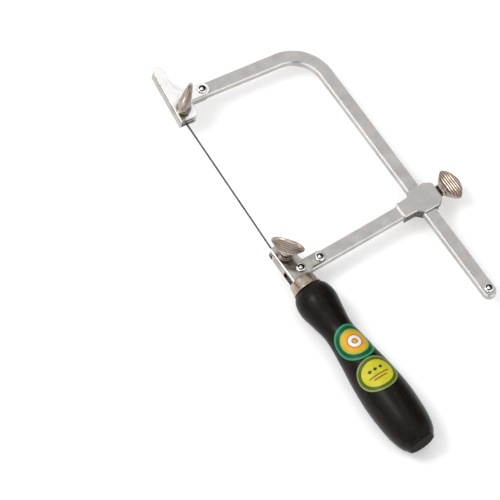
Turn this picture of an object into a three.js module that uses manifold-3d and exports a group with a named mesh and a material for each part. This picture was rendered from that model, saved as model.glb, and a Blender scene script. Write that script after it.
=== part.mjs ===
// Adjustable jeweler's saw frame with its blade, in millimetres.
//
// While it is built, the frame lies flat in the XY plane: X runs from the handle's axis towards the
// back bar, Y runs up the handle towards the top arm, and Z is square to the frame. The handle's
// axis is X = 0, the mouth of its ferrule is Y = 0, and every bar is centred on Z = 0.
// The finished saw is then moved so that its origin is under the middle of its bounding box.

import * as THREE from "three";
import { mergeVertices } from "three/addons/utils/BufferGeometryUtils.js";
import Module from "manifold-3d";

const wasm = await Module();
wasm.setup();

// ---- driving dimensions ----

const BAR_WIDTH = 8;
const BAR_THICKNESS = 5;
const BAR_CHAMFER = 0.6;
const BAR_X = 85; // centre line of the back bar
const BAR_END_Y = -64;
const STOP_RIVET_Y = -59;

const ARM_SPLAY = THREE.MathUtils.degToRad(6.8); // the top arm rises this much towards the blade
const CORNER_Y = 116.7; // where the centre lines of the back bar and the top arm meet
const BEND_RADIUS = 21; // on the centre line
const TOP_ARM_LENGTH = 87.4; // from that corner to the outer face of the upper jaw
const ARM_END_INSET = 9.5; // the arm stops this far inside the outer face of its jaw

const LOWER_ARM_Y = 5;
const LOWER_JAW_X = -5.8; // outer face of the lower jaw
const TANG_WIDTH = 5;
const TANG_LENGTH = 45;

const SHEET = 1.2; // the jaws are folded from this sheet, round the arm
const FOLD_RADIUS = 1.35;
const JAW_TOP = BAR_THICKNESS / 2 + SHEET;
const CLAMP_SCREW_X = 5.8; // from the outer face of a jaw to its screw

const BLADE_LENGTH = 130;
const BLADE_WIDTH = 1.2;
const BLADE_THICKNESS = 0.35;
const BLADE_LOW = new THREE.Vector2(-2.3, 25.3); // where the blade leaves the lower jaw
const BLADE_HIGH = new THREE.Vector2(1.3, 115.2); // where it enters the upper jaw
const BLADE_LOW_END = 14.3; // length of blade below that lower point
const CLAMP_PLATE = 1.6;

const SCREW_RADIUS = 2;
const PADDLE_WIDTH = 19.4;
const PADDLE_HEIGHT = 12.2;
const FAN_FOOT = 2.4; // half the paddle's width where it leaves the hub
const FAN_TIP_HEIGHT = 7.2; // the rim's arc starts at this height on both sides
const FAN_SIDE_TOP = FAN_TIP_HEIGHT - 1.4;
const FAN_RIM = 0.8; // half the paddle's thickness at its rim
const FAN_SWELL = 2.2; // what its foot has on each side beyond that
const RIDGES = 6;
const FIRST_RIDGE = 2.2;
const RIDGE_PITCH = 1.5;
const RIDGE_DEPTH = 0.4;
const HUB_RADIUS = 3.6;
const BUSH_HEIGHT = 2.2;

const BLOCK_THICKNESS = 7.6;
const BLOCK_INNER_X = 70.2;
const BLOCK_OUTER_X = 95.5;
const BLOCK_HALF_LENGTH = 8.1; // along the bar
const SOCKET_DEPTH = 6; // how far the lower arm enters the block

const RIVET_RADIUS = 1.5;
const RIVET_HEAD_RADIUS = 2.8;

const FERRULE_LENGTH = 7;
const FERRULE_MOUTH_RADIUS = 7.5;
const FERRULE_SKIRT_RADIUS = 8.7;
const FERRULE_WALL = 0.8;
const HANDLE_BORE_RADIUS = 3.75;

// Stations down the turned handle: distance below the ferrule's skirt, and radius.
const HANDLE_STATIONS = [
  [0, 8.8],
  [4, 10.8],
  [10, 11.6],
  [20, 9.95],
  [29.5, 8.65],
  [45, 10.2],
  [61, 12.4],
  [77, 13.6],
  [91, 13.15],
  [99, 12.1],
  [104.5, 10.4],
  [107.2, 8.5],
  [108.7, 6.2],
];

const RUNNING_GAP = 0.15; // between pieces that slide or turn
const SEAT_GAP = 0.05; // between pieces that are fixed together

// ---- solids ----

function toSolid(geometry) {
  const bare = geometry.clone();
  bare.deleteAttribute("normal");
  bare.deleteAttribute("uv");
  const merged = mergeVertices(bare, 1e-4);
  return new wasm.Manifold(
    new wasm.Mesh({
      numProp: 3,
      vertProperties: new Float32Array(merged.attributes.position.array),
      triVerts: new Uint32Array(merged.index.array),
    }),
  );
}

function toGeometry(solid) {
  const mesh = solid.getMesh();
  const geometry = new THREE.BufferGeometry();
  geometry.setAttribute("position", new THREE.BufferAttribute(mesh.vertProperties, 3));
  geometry.setIndex(new THREE.BufferAttribute(mesh.triVerts, 1));
  return geometry;
}

function cut(geometry, tools) {
  const body = tools.reduce((left, tool) => left.subtract(toSolid(tool)), toSolid(geometry));
  return toGeometry(body);
}

// A closed shape from corners [x, y, radius]: straight edges joined by tangent arcs.
function roundedShape(corners) {
  const shape = new THREE.Shape();
  corners.forEach(([x, y, radius], i) => {
    const corner = new THREE.Vector2(x, y);
    const [px, py] = corners.at(i - 1);
    const [nx, ny] = corners[(i + 1) % corners.length];
    const back = new THREE.Vector2(px, py).sub(corner).normalize();
    const ahead = new THREE.Vector2(nx, ny).sub(corner).normalize();
    const half = Math.acos(THREE.MathUtils.clamp(back.dot(ahead), -1, 1)) / 2;
    const reach = radius / Math.tan(half);
    const start = corner.clone().addScaledVector(back, reach);
    const finish = corner.clone().addScaledVector(ahead, reach);
    const bisector = back.clone().add(ahead).normalize();
    const centre = corner.clone().addScaledVector(bisector, radius / Math.sin(half));
    const clockwise = back.cross(ahead) > 0;
    const startAngle = start.sub(centre).angle();
    const finishAngle = finish.sub(centre).angle();
    shape.absarc(centre.x, centre.y, radius, startAngle, finishAngle, clockwise);
  });
  return shape;
}

// A shape in the XY plane made into a plate between two heights, with an optional edge chamfer.
function plate(shape, bottom, top, chamfer = 0, curveSegments = 5) {
  const geometry = new THREE.ExtrudeGeometry(shape, {
    depth: top - bottom - 2 * chamfer,
    bevelEnabled: chamfer > 0,
    bevelThickness: chamfer,
    bevelSize: chamfer,
    bevelOffset: -chamfer,
    bevelSegments: 1,
    curveSegments,
  });
  return geometry.translate(0, 0, bottom + chamfer);
}

function box(low, high) {
  const size = high.map((value, i) => value - low[i]);
  const middle = high.map((value, i) => (value + low[i]) / 2);
  return new THREE.BoxGeometry(...size).translate(...middle);
}

// A drill along Z, from one height to another.
function drill(x, y, radius, bottom, top) {
  const bit = new THREE.CylinderGeometry(radius, radius, top - bottom, 24);
  return bit.rotateX(Math.PI / 2).translate(x, y, (top + bottom) / 2);
}

// A turned piece about Z from points [radius, z].
function turned(points, segments = 24) {
  const profile = points.map(([radius, z]) => new THREE.Vector2(radius, z));
  return new THREE.LatheGeometry(profile, segments).rotateX(Math.PI / 2);
}

// ---- assembly ----

const saw = new THREE.Group();

const steel = { color: 0xbfb8b4, roughness: 0.35, metalness: 1 };
const brightSteel = { color: 0xdedbd7, roughness: 0.2, metalness: 1 };
const champagne = { color: 0xb9a791, roughness: 0.35, metalness: 1 };
const chrome = { color: 0xf2f2f2, roughness: 0.08, metalness: 1 };
const brass = { color: 0xc9a24b, roughness: 0.4, metalness: 1 };
const hardSteel = { color: 0x4b4d52, roughness: 0.5, metalness: 0.9 };
const blackLacquer = { color: 0x171514, roughness: 0.35, metalness: 0 };
const greenPaper = { color: 0x1f6b42, roughness: 0.5, metalness: 0 };
const olivePaper = { color: 0x8d9236, roughness: 0.5, metalness: 0 };

function add(parent, name, geometry, look) {
  const mesh = new THREE.Mesh(geometry, new THREE.MeshStandardMaterial(look));
  mesh.name = name;
  parent.add(mesh);
  return mesh;
}

// ---- back bar: top arm, bend and back in one bar ----

const armAlong = new THREE.Vector2(Math.cos(ARM_SPLAY), -Math.sin(ARM_SPLAY));
const armAcross = new THREE.Vector2(Math.sin(ARM_SPLAY), Math.cos(ARM_SPLAY));
const corner = new THREE.Vector2(BAR_X, CORNER_Y);
const upperJaw = corner.clone().addScaledVector(armAlong, -TOP_ARM_LENGTH);

// The edge lines of arm and back bar, offset outwards from both centre lines, meet here.
function mitre(offset) {
  const along = (offset * (1 - Math.sin(ARM_SPLAY))) / Math.cos(ARM_SPLAY);
  return corner.clone().addScaledVector(armAcross, offset).addScaledVector(armAlong, along);
}

function backBarShape() {
  const half = BAR_WIDTH / 2;
  const armEnd = upperJaw.clone().addScaledVector(armAlong, ARM_END_INSET);
  const armLow = armEnd.clone().addScaledVector(armAcross, -half);
  const armHigh = armEnd.clone().addScaledVector(armAcross, half);
  const inner = mitre(-half);
  const outer = mitre(half);
  const endRadius = half - 0.1;
  return roundedShape([
    [armLow.x, armLow.y, 1],
    [inner.x, inner.y, BEND_RADIUS - half],
    [BAR_X - half, BAR_END_Y, endRadius],
    [BAR_X + half, BAR_END_Y, endRadius],
    [outer.x, outer.y, BEND_RADIUS + half],
    [armHigh.x, armHigh.y, 1],
  ]);
}

const upperRivetInset = 20.5; // from the outer face of the upper jaw
const upperRivet = upperJaw.clone().addScaledVector(armAlong, upperRivetInset);
const rivetHole = RIVET_RADIUS + SEAT_GAP;
const barSides = BAR_THICKNESS / 2;

add(
  saw,
  "back_bar",
  cut(plate(backBarShape(), -barSides, barSides, BAR_CHAMFER, 8), [
    drill(upperRivet.x, upperRivet.y, rivetHole, -JAW_TOP, JAW_TOP),
    drill(BAR_X, STOP_RIVET_Y, rivetHole, -JAW_TOP, JAW_TOP),
  ]),
  steel,
);

// ---- rivets: a domed head on top and a flat-domed tail below ----

function rivet(parent, name, x, y, top, bottom) {
  const headRise = 1.6;
  const tailRadius = 2.1;
  const tailRise = 0.7;
  const steps = 4;
  const dome = (radius, rise, from, sign) =>
    Array.from({ length: steps + 1 }, (_, i) => {
      const angle = (i / steps) * (Math.PI / 2);
      return [radius * Math.cos(angle), from + sign * rise * Math.sin(angle)];
    });
  const head = dome(RIVET_HEAD_RADIUS, headRise, top, 1);
  const tail = dome(tailRadius, tailRise, bottom, -1).reverse();
  head.at(-1)[0] = 0;
  tail[0][0] = 0;
  const shank = [
    [RIVET_RADIUS, bottom],
    [RIVET_RADIUS, top],
  ];
  add(parent, name, turned([...tail, ...shank, ...head], 20).translate(x, y, 0), chrome);
}

rivet(saw, "bar_stop_rivet", BAR_X, STOP_RIVET_Y, barSides + SEAT_GAP, -barSides - SEAT_GAP);

// ---- folded jaws: two cheeks round the arm, joined by a web on the blade's side ----

// A length of sheet folded into a U, open towards +X, running along Y.
function foldedSheet(length, from) {
  const reach = 30;
  const insideRadius = FOLD_RADIUS - SHEET;
  const section = roundedShape([
    [0, -JAW_TOP, FOLD_RADIUS],
    [reach, -JAW_TOP, 0],
    [reach, -barSides - SEAT_GAP, 0],
    [SHEET, -barSides - SEAT_GAP, insideRadius],
    [SHEET, barSides + SEAT_GAP, insideRadius],
    [reach, barSides + SEAT_GAP, 0],
    [reach, JAW_TOP, 0],
    [0, JAW_TOP, FOLD_RADIUS],
  ]);
  const strip = plate(section, 0, length, 0, 3);
  return strip.rotateX(Math.PI / 2).translate(0, from + length, 0);
}

// The folded sheet trimmed to an outline, drilled, with the web cut away outside its span.
function foldedJaw(outline, webFrom, webTo, holes) {
  const spanLow = -25;
  const spanHigh = 30;
  const sheet = toSolid(foldedSheet(spanHigh - spanLow, spanLow));
  const trim = toSolid(plate(roundedShape(outline), -JAW_TOP - 1, JAW_TOP + 1, 0, 4));
  const gap = barSides + SEAT_GAP;
  const tools = [...holes];
  if (webFrom > spanLow) tools.push(box([-1, spanLow - 1, -gap], [FOLD_RADIUS, webFrom, gap]));
  if (webTo < spanHigh) tools.push(box([-1, webTo, -gap], [FOLD_RADIUS, spanHigh + 1, gap]));
  return cut(toGeometry(sheet.intersect(trim)), tools);
}

const screwHole = SCREW_RADIUS + RUNNING_GAP;
const bushSeatRadius = 3;
const cheekHole = bushSeatRadius + SEAT_GAP;

// ---- threaded bush staked into a jaw's upper cheek ----

function bush(parent, name, x, y) {
  const flange = 4.2;
  const collar = 3.5;
  const flangeTop = JAW_TOP + BUSH_HEIGHT / 2;
  const low = barSides + SEAT_GAP;
  const ring = turned([
    [screwHole, low],
    [bushSeatRadius, low],
    [bushSeatRadius, JAW_TOP + SEAT_GAP],
    [flange, JAW_TOP + SEAT_GAP],
    [flange, flangeTop],
    [collar, flangeTop],
    [collar, JAW_TOP + BUSH_HEIGHT],
    [screwHole, JAW_TOP + BUSH_HEIGHT],
    [screwHole, low],
  ]);
  add(parent, name, ring.translate(x, y, 0), champagne);
}

// ---- thumb screw: a plain shaft along +Z with a ridged fan-shaped paddle on top ----

function paddle(base) {
  const half = PADDLE_WIDTH / 2;
  const swell = [6.9, 2.4]; // pulls the sides slightly outwards between foot and rim
  const rise = PADDLE_HEIGHT - FAN_TIP_HEIGHT;
  const arcRadius = (half * half + rise * rise) / (2 * rise);
  const arcCentre = PADDLE_HEIGHT - arcRadius;
  const arcHalfAngle = Math.asin(half / arcRadius);
  const fan = new THREE.Shape();
  fan.moveTo(-FAN_FOOT, 0);
  fan.lineTo(FAN_FOOT, 0);
  fan.quadraticCurveTo(swell[0], swell[1], half, FAN_SIDE_TOP);
  fan.absarc(0, arcCentre, arcRadius, Math.PI / 2 - arcHalfAngle, Math.PI / 2 + arcHalfAngle, false);
  fan.lineTo(-half, FAN_SIDE_TOP);
  fan.quadraticCurveTo(-swell[0], swell[1], -FAN_FOOT, 0);
  const depth = 8; // more than the wedge's thickness
  const blank = new THREE.ExtrudeGeometry(fan, { depth, bevelEnabled: false, curveSegments: 6 });
  blank.translate(0, 0, -depth / 2);

  // Side profile: thick at the foot, rounding over to a thin rim, with grooves across both faces.
  const thickness = (height) => FAN_RIM + FAN_SWELL * (1 - (height / PADDLE_HEIGHT) ** 1.7);
  const side = [[thickness(0), 0]];
  for (let i = 0; i < RIDGES; i++) {
    const height = FIRST_RIDGE + i * RIDGE_PITCH;
    side.push([thickness(height), height]);
    side.push([thickness(height) - RIDGE_DEPTH, height + RIDGE_PITCH / 2]);
  }
  side.push([thickness(PADDLE_HEIGHT), PADDLE_HEIGHT - 0.6]);
  side.push([thickness(PADDLE_HEIGHT) - 0.4, PADDLE_HEIGHT + 0.2]);
  const mirrored = side.map(([depth, height]) => [-depth, height]).reverse();
  const outline = [...side, ...mirrored].map(([depth, height]) => new THREE.Vector2(depth, height));
  const wedge = new THREE.ExtrudeGeometry(new THREE.Shape(outline), {
    depth: PADDLE_WIDTH + 2,
    bevelEnabled: false,
  });
  wedge.translate(0, 0, -PADDLE_WIDTH / 2 - 1).rotateY(Math.PI / 2);
  const head = toSolid(blank).intersect(toSolid(wedge));
  return toSolid(toGeometry(head).rotateX(Math.PI / 2).translate(0, 0, base));
}

// The screw stands on its tip at the given height; its paddle starts where the shaft ends.
function thumbScrew(tip, shaftLength) {
  const base = tip + shaftLength;
  const tipChamfer = 0.4;
  const shaft = turned([
    [0, tip],
    [SCREW_RADIUS - tipChamfer, tip],
    [SCREW_RADIUS, tip + tipChamfer],
    [SCREW_RADIUS, base - 1.4],
    [HUB_RADIUS - 0.3, base - 1.1],
    [HUB_RADIUS, base - 0.5],
    [HUB_RADIUS - 0.4, base + 0.8],
    [1.6, base + 3.2],
    [0, base + 3.2],
  ]);
  return toGeometry(toSolid(shaft).add(paddle(base)));
}

// ---- blade clamp: plate under the screw, bush in the cheek, screw on top ----

const bladeBottom = -barSides;
const plateBottom = bladeBottom + BLADE_THICKNESS + SEAT_GAP;
const plateTop = plateBottom + CLAMP_PLATE;
const clampShaft = 10;

function bladeClamp(parent, prefix, screwY, plateLow, plateHigh, turn) {
  const plateInner = SHEET + 0.8;
  const plateOuter = 9.2;
  const outline = roundedShape([
    [plateInner, plateLow, 0.5],
    [plateOuter, plateLow, 0.5],
    [plateOuter, plateHigh, 0.5],
    [plateInner, plateHigh, 0.5],
  ]);
  add(parent, `${prefix}_clamp_plate`, plate(outline, plateBottom, plateTop, 0, 2), steel);
  bush(parent, `${prefix}_screw_bush`, CLAMP_SCREW_X, screwY);
  const screw = thumbScrew(plateTop + SEAT_GAP, clampShaft);
  screw.rotateZ(turn).translate(CLAMP_SCREW_X, screwY, 0);
  add(parent, `${prefix}_thumb_screw`, screw, champagne);
}

// ---- upper jaw: a T with a tab above the arm; its own frame follows the splayed arm ----

const upper = new THREE.Group();
upper.position.set(upperJaw.x, upperJaw.y, 0);
upper.rotation.z = -ARM_SPLAY;
saw.add(upper);

const TAB_WIDTH = 6.6;
const TAB_TOP = 22.6;
const UPPER_JAW_BOTTOM = -13.6;
const UPPER_SCREW_Y = -6.2;
const JAW_WIDTH = 11.6;
const TONGUE_END = 24.8;
const tongueHalf = 3.8;

add(
  upper,
  "upper_jaw_bracket",
  foldedJaw(
    [
      [0, UPPER_JAW_BOTTOM, 0.6],
      [JAW_WIDTH, UPPER_JAW_BOTTOM, 2.5],
      [JAW_WIDTH, -tongueHalf, 1.5],
      [TONGUE_END, -tongueHalf, tongueHalf - 0.1],
      [TONGUE_END, tongueHalf, tongueHalf - 0.1],
      [TAB_WIDTH, tongueHalf, 5],
      [TAB_WIDTH, TAB_TOP, TAB_WIDTH / 2 - 0.1],
      [0, TAB_TOP, TAB_WIDTH / 2 - 0.1],
    ],
    -Infinity,
    TAB_TOP - 3,
    [
      drill(upperRivetInset, 0, rivetHole, -JAW_TOP - 1, JAW_TOP + 1),
      drill(CLAMP_SCREW_X, UPPER_SCREW_Y, cheekHole, 0, JAW_TOP + 1),
    ],
  ),
  brightSteel,
);

const rivetTop = JAW_TOP + SEAT_GAP;
rivet(upper, "upper_jaw_rivet", upperRivetInset, 0, rivetTop, -rivetTop);
const upperScrewTurn = THREE.MathUtils.degToRad(45);
bladeClamp(upper, "upper", UPPER_SCREW_Y, UPPER_JAW_BOTTOM + 0.6, -2.0, upperScrewTurn);

// ---- blade: a thin strip lying on the jaws' lower cheeks, its top leaning towards the back bar ----

const bladeRun = BLADE_HIGH.clone().sub(BLADE_LOW);
const bladeLean = -Math.atan2(bladeRun.x, bladeRun.y);
const bladeStrip = box(
  [-BLADE_WIDTH / 2, -BLADE_LOW_END, bladeBottom],
  [BLADE_WIDTH / 2, BLADE_LENGTH - BLADE_LOW_END, bladeBottom + BLADE_THICKNESS],
);
bladeStrip.rotateZ(bladeLean).translate(BLADE_LOW.x, BLADE_LOW.y, 0);
add(saw, "saw_blade", bladeStrip, hardSteel);

// ---- lower arm, its end turned down into the handle as the tang ----

const socketEnd = BLOCK_INNER_X + SOCKET_DEPTH;
const armLowY = LOWER_ARM_Y - BAR_WIDTH / 2;
const armHighY = LOWER_ARM_Y + BAR_WIDTH / 2;
const tangHalf = TANG_WIDTH / 2;
const innerRivetX = 2.8;
const outerRivetX = 15.4;

const armEndX = LOWER_JAW_X + SHEET + 0.6;
const tangTaper = 0.6;
const armCorner = 0.8;
const tangFillet = 0.4;
const lowerArmShape = roundedShape([
  [armEndX, armLowY, armCorner],
  [-tangHalf, armLowY, tangFillet],
  [-tangHalf + tangTaper, -TANG_LENGTH, armCorner],
  [tangHalf - tangTaper, -TANG_LENGTH, armCorner],
  [tangHalf, armLowY, tangFillet],
  [socketEnd - SEAT_GAP, armLowY, armCorner],
  [socketEnd - SEAT_GAP, armHighY, armCorner],
  [armEndX, armHighY, 1],
]);

add(
  saw,
  "lower_arm",
  cut(plate(lowerArmShape, -barSides, barSides, BAR_CHAMFER, 3), [
    drill(innerRivetX, LOWER_ARM_Y, rivetHole, -JAW_TOP, JAW_TOP),
    drill(outerRivetX, LOWER_ARM_Y, rivetHole, -JAW_TOP, JAW_TOP),
  ]),
  steel,
);

// ---- lower jaw ----

const lower = new THREE.Group();
lower.position.set(LOWER_JAW_X, LOWER_ARM_Y, 0);
saw.add(lower);

const LOWER_JAW_TOP = 18.4;
const LOWER_JAW_BOTTOM = -5 + SEAT_GAP;
const LOWER_SCREW_Y = 11;
const LOWER_WEB = [3, 14.5];

add(
  lower,
  "lower_jaw_bracket",
  foldedJaw(
    [
      [0, LOWER_JAW_BOTTOM, 0.5],
      [12.6, LOWER_JAW_BOTTOM, 1],
      [15.2, -2.9, 2],
      [24.6, -2.9, 2.6],
      [24.6, tongueHalf, 3],
      [JAW_WIDTH, tongueHalf, 1.5],
      [JAW_WIDTH, LOWER_JAW_TOP, 2.5],
      [0, LOWER_JAW_TOP, 1.8],
    ],
    LOWER_WEB[0],
    LOWER_WEB[1],
    [
      drill(innerRivetX - LOWER_JAW_X, 0, rivetHole, -JAW_TOP - 1, JAW_TOP + 1),
      drill(outerRivetX - LOWER_JAW_X, 0, rivetHole, -JAW_TOP - 1, JAW_TOP + 1),
      drill(CLAMP_SCREW_X, LOWER_SCREW_Y, cheekHole, 0, JAW_TOP + 1),
    ],
  ),
  brightSteel,
);

rivet(lower, "lower_jaw_rivet_inner", innerRivetX - LOWER_JAW_X, 0, rivetTop, -rivetTop);
rivet(lower, "lower_jaw_rivet_outer", outerRivetX - LOWER_JAW_X, 0, rivetTop, -rivetTop);
const lowerScrewTurn = THREE.MathUtils.degToRad(-52);
bladeClamp(lower, "lower", LOWER_SCREW_Y, 5.2, LOWER_JAW_TOP - 0.6, lowerScrewTurn);

// ---- slide block: carries the lower arm and slides along the back bar ----

const blockHalf = BLOCK_THICKNESS / 2;
const blockNeckHalf = BAR_WIDTH / 2 + 0.9;
const blockShape = roundedShape([
  [BLOCK_INNER_X, LOWER_ARM_Y - blockNeckHalf, 0.8],
  [BAR_X - 7, LOWER_ARM_Y - blockNeckHalf, 3],
  [BAR_X - 3.6, LOWER_ARM_Y - BLOCK_HALF_LENGTH, 1.2],
  [BAR_X + 6, LOWER_ARM_Y - BLOCK_HALF_LENGTH, 3],
  [BLOCK_OUTER_X, LOWER_ARM_Y - 5.6, 2],
  [BLOCK_OUTER_X, LOWER_ARM_Y + 5.6, 2],
  [BAR_X + 6, LOWER_ARM_Y + BLOCK_HALF_LENGTH, 3],
  [BAR_X - 3.6, LOWER_ARM_Y + BLOCK_HALF_LENGTH, 1.2],
  [BAR_X - 7, LOWER_ARM_Y + blockNeckHalf, 3],
  [BLOCK_INNER_X, LOWER_ARM_Y + blockNeckHalf, 0.8],
]);

const barHole = BAR_WIDTH / 2 + RUNNING_GAP;
const barHoleSide = barSides + RUNNING_GAP;
const barFace = BAR_X + BAR_WIDTH / 2;
const shoeRadius = 2.6;
const shoeThickness = 1.5;
const shoeStart = barFace + 0.3;
const shoeTravel = 1.5;
const counterboreEnd = shoeStart + shoeThickness + shoeTravel + 0.2;

// A drill along X through the middle of the block.
function crossDrill(radius, from, to) {
  const bit = new THREE.CylinderGeometry(radius, radius, to - from, 24);
  return bit.rotateZ(Math.PI / 2).translate((from + to) / 2, LOWER_ARM_Y, 0);
}

add(
  saw,
  "slide_block",
  cut(plate(blockShape, -blockHalf, blockHalf, 0.5, 4), [
    box(
      [BAR_X - barHole, LOWER_ARM_Y - 20, -barHoleSide],
      [BAR_X + barHole, LOWER_ARM_Y + 20, barHoleSide],
    ),
    box(
      [BLOCK_INNER_X - 1, armLowY - SEAT_GAP, -barSides - SEAT_GAP],
      [socketEnd, armHighY + SEAT_GAP, barSides + SEAT_GAP],
    ),
    crossDrill(shoeRadius + RUNNING_GAP, BAR_X, counterboreEnd),
    crossDrill(screwHole, BAR_X, BLOCK_OUTER_X + 1),
  ]),
  steel,
);

// ---- slide lock: a shoe on the bar's outer face, pushed by a third thumb screw ----

const shoe = turned([
  [0, 0],
  [shoeRadius, 0],
  [shoeRadius, shoeThickness],
  [0, shoeThickness],
]);
shoe.rotateY(Math.PI / 2).translate(shoeStart, LOWER_ARM_Y, 0);
add(saw, "slide_pressure_shoe", shoe, brass);

const slideScrewTip = shoeStart + shoeThickness + SEAT_GAP;
const slideScrewBase = BLOCK_OUTER_X + 3;
const slideScrew = thumbScrew(0, slideScrewBase - slideScrewTip);
slideScrew.rotateZ(Math.PI / 2).rotateY(Math.PI / 2).translate(slideScrewTip, LOWER_ARM_Y, 0);
add(saw, "slide_thumb_screw", slideScrew, champagne);

// ---- ferrule ----

const skirtInside = FERRULE_SKIRT_RADIUS - FERRULE_WALL;
const mouthInside = FERRULE_MOUTH_RADIUS - FERRULE_WALL;
const ferrule = new THREE.LatheGeometry(
  [
    [HANDLE_BORE_RADIUS, 0],
    [HANDLE_BORE_RADIUS, -FERRULE_WALL],
    [mouthInside, -FERRULE_WALL],
    [skirtInside, -FERRULE_LENGTH],
    [FERRULE_SKIRT_RADIUS, -FERRULE_LENGTH],
    [FERRULE_MOUTH_RADIUS, -0.5],
    [FERRULE_MOUTH_RADIUS - 0.5, 0],
    [HANDLE_BORE_RADIUS, 0],
  ].map(([radius, y]) => new THREE.Vector2(radius, y)),
  40,
);
add(saw, "ferrule", ferrule, champagne);

// ---- handle ----

const handleTopY = -FERRULE_LENGTH - 0.1;

// Radius at a distance below the ferrule: a smooth curve through the stations.
function handleRadius(distance) {
  const last = HANDLE_STATIONS.length - 2;
  const found = HANDLE_STATIONS.findIndex((station, i) => i > 0 && station[0] >= distance) - 1;
  const i = THREE.MathUtils.clamp(found, 0, last);
  const [x0, r0] = HANDLE_STATIONS[i];
  const [x1, r1] = HANDLE_STATIONS[i + 1];
  const slopeAt = (k) => {
    const [xa, ra] = HANDLE_STATIONS[Math.max(k - 1, 0)];
    const [xb, rb] = HANDLE_STATIONS[Math.min(k + 1, last + 1)];
    return (rb - ra) / (xb - xa);
  };
  const span = x1 - x0;
  const t = (distance - x0) / span;
  const blend = t * t * (3 - 2 * t);
  const leave = span * slopeAt(i) * t * (1 - t) * (1 - t);
  const arrive = span * slopeAt(i + 1) * t * t * (t - 1);
  return r0 + (r1 - r0) * blend + leave + arrive;
}

const handleLength = HANDLE_STATIONS.at(-1)[0];
const handleSteps = 30;
const neckTop = -FERRULE_WALL - 0.1;
const profile = [
  [0, -TANG_LENGTH - 2],
  [HANDLE_BORE_RADIUS, -TANG_LENGTH - 2],
  [HANDLE_BORE_RADIUS, neckTop],
  [mouthInside - 0.3, neckTop],
  [skirtInside - 0.1, handleTopY],
];
for (let i = 0; i <= handleSteps; i++) {
  const distance = (i / handleSteps) * handleLength;
  profile.push([handleRadius(distance), handleTopY - distance]);
}
profile.push([0, handleTopY - handleLength]);
const handle = new THREE.LatheGeometry(
  profile.map(([radius, y]) => new THREE.Vector2(radius, y)).reverse(),
  40,
);
add(saw, "handle", handle, blackLacquer);

// ---- paper labels that follow the handle's surface ----

// An oval patch about a point of the handle, given by its distance below the ferrule and its angle
// round the handle from +Z. The half sizes are measured along and round the handle.
function label(name, distance, angle, halfAlong, halfRound, look) {
  const rings = 5;
  const spokes = 24;
  const lift = 0.22;
  const paper = 0.12;
  const positions = [];
  const place = (ring, spoke, height) => {
    const reach = ring / rings;
    const bearing = (spoke / spokes) * 2 * Math.PI;
    const along = distance + halfAlong * reach * Math.cos(bearing);
    const radius = handleRadius(along);
    const turn = angle + (halfRound * reach * Math.sin(bearing)) / radius;
    const out = radius + lift + height;
    positions.push(out * Math.sin(turn), handleTopY - along, out * Math.cos(turn));
  };
  const layer = (height) => {
    place(0, 0, height);
    for (let ring = 1; ring <= rings; ring++) {
      for (let spoke = 0; spoke < spokes; spoke++) place(ring, spoke, height);
    }
  };
  layer(paper);
  layer(0);
  const perLayer = 1 + rings * spokes;
  const at = (ring, spoke) => (ring === 0 ? 0 : 1 + (ring - 1) * spokes + (spoke % spokes));
  const faces = [];
  for (let spoke = 0; spoke < spokes; spoke++) {
    for (let ring = 0; ring < rings; ring++) {
      const [a, b] = [at(ring, spoke), at(ring, spoke + 1)];
      const [c, d] = [at(ring + 1, spoke), at(ring + 1, spoke + 1)];
      faces.push([a, c, d]);
      if (ring > 0) faces.push([a, d, b]);
    }
  }
  const under = faces.map(([a, b, c]) => [a + perLayer, c + perLayer, b + perLayer]);
  const rim = [];
  for (let spoke = 0; spoke < spokes; spoke++) {
    const [a, b] = [at(rings, spoke), at(rings, spoke + 1)];
    rim.push([a, a + perLayer, b + perLayer], [a, b + perLayer, b]);
  }
  const geometry = new THREE.BufferGeometry();
  geometry.setAttribute("position", new THREE.Float32BufferAttribute(positions, 3));
  geometry.setIndex([...faces, ...under, ...rim].flat());
  add(saw, name, geometry, look);
}

const tilt = THREE.MathUtils.degToRad;
label("round_label", 41.8, tilt(2), 11.7, 11.7, greenPaper);
label("oval_label", 64.6, tilt(-4), 10.5, 12.5, olivePaper);

// ---- origin: on the ground plane, under the middle of the bounding box ----

const bounds = new THREE.Box3().setFromObject(saw, true);
const middle = bounds.getCenter(new THREE.Vector3());
saw.position.set(-middle.x, -middle.y, -bounds.min.z);

export default saw;
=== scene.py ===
"""The looks of the adjustable jeweler's saw frame.

Shapes are written in the saw's own millimetres: X runs from the handle's axis to the back bar, Y up
the handle from the mouth of its ferrule, and Z square to the frame from the bars' middle plane.
DESIGN takes them to the metres of the frame that the CAD and this script share.
"""

import math

import bmesh
import bpy
from mathutils import Matrix, Vector


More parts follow.
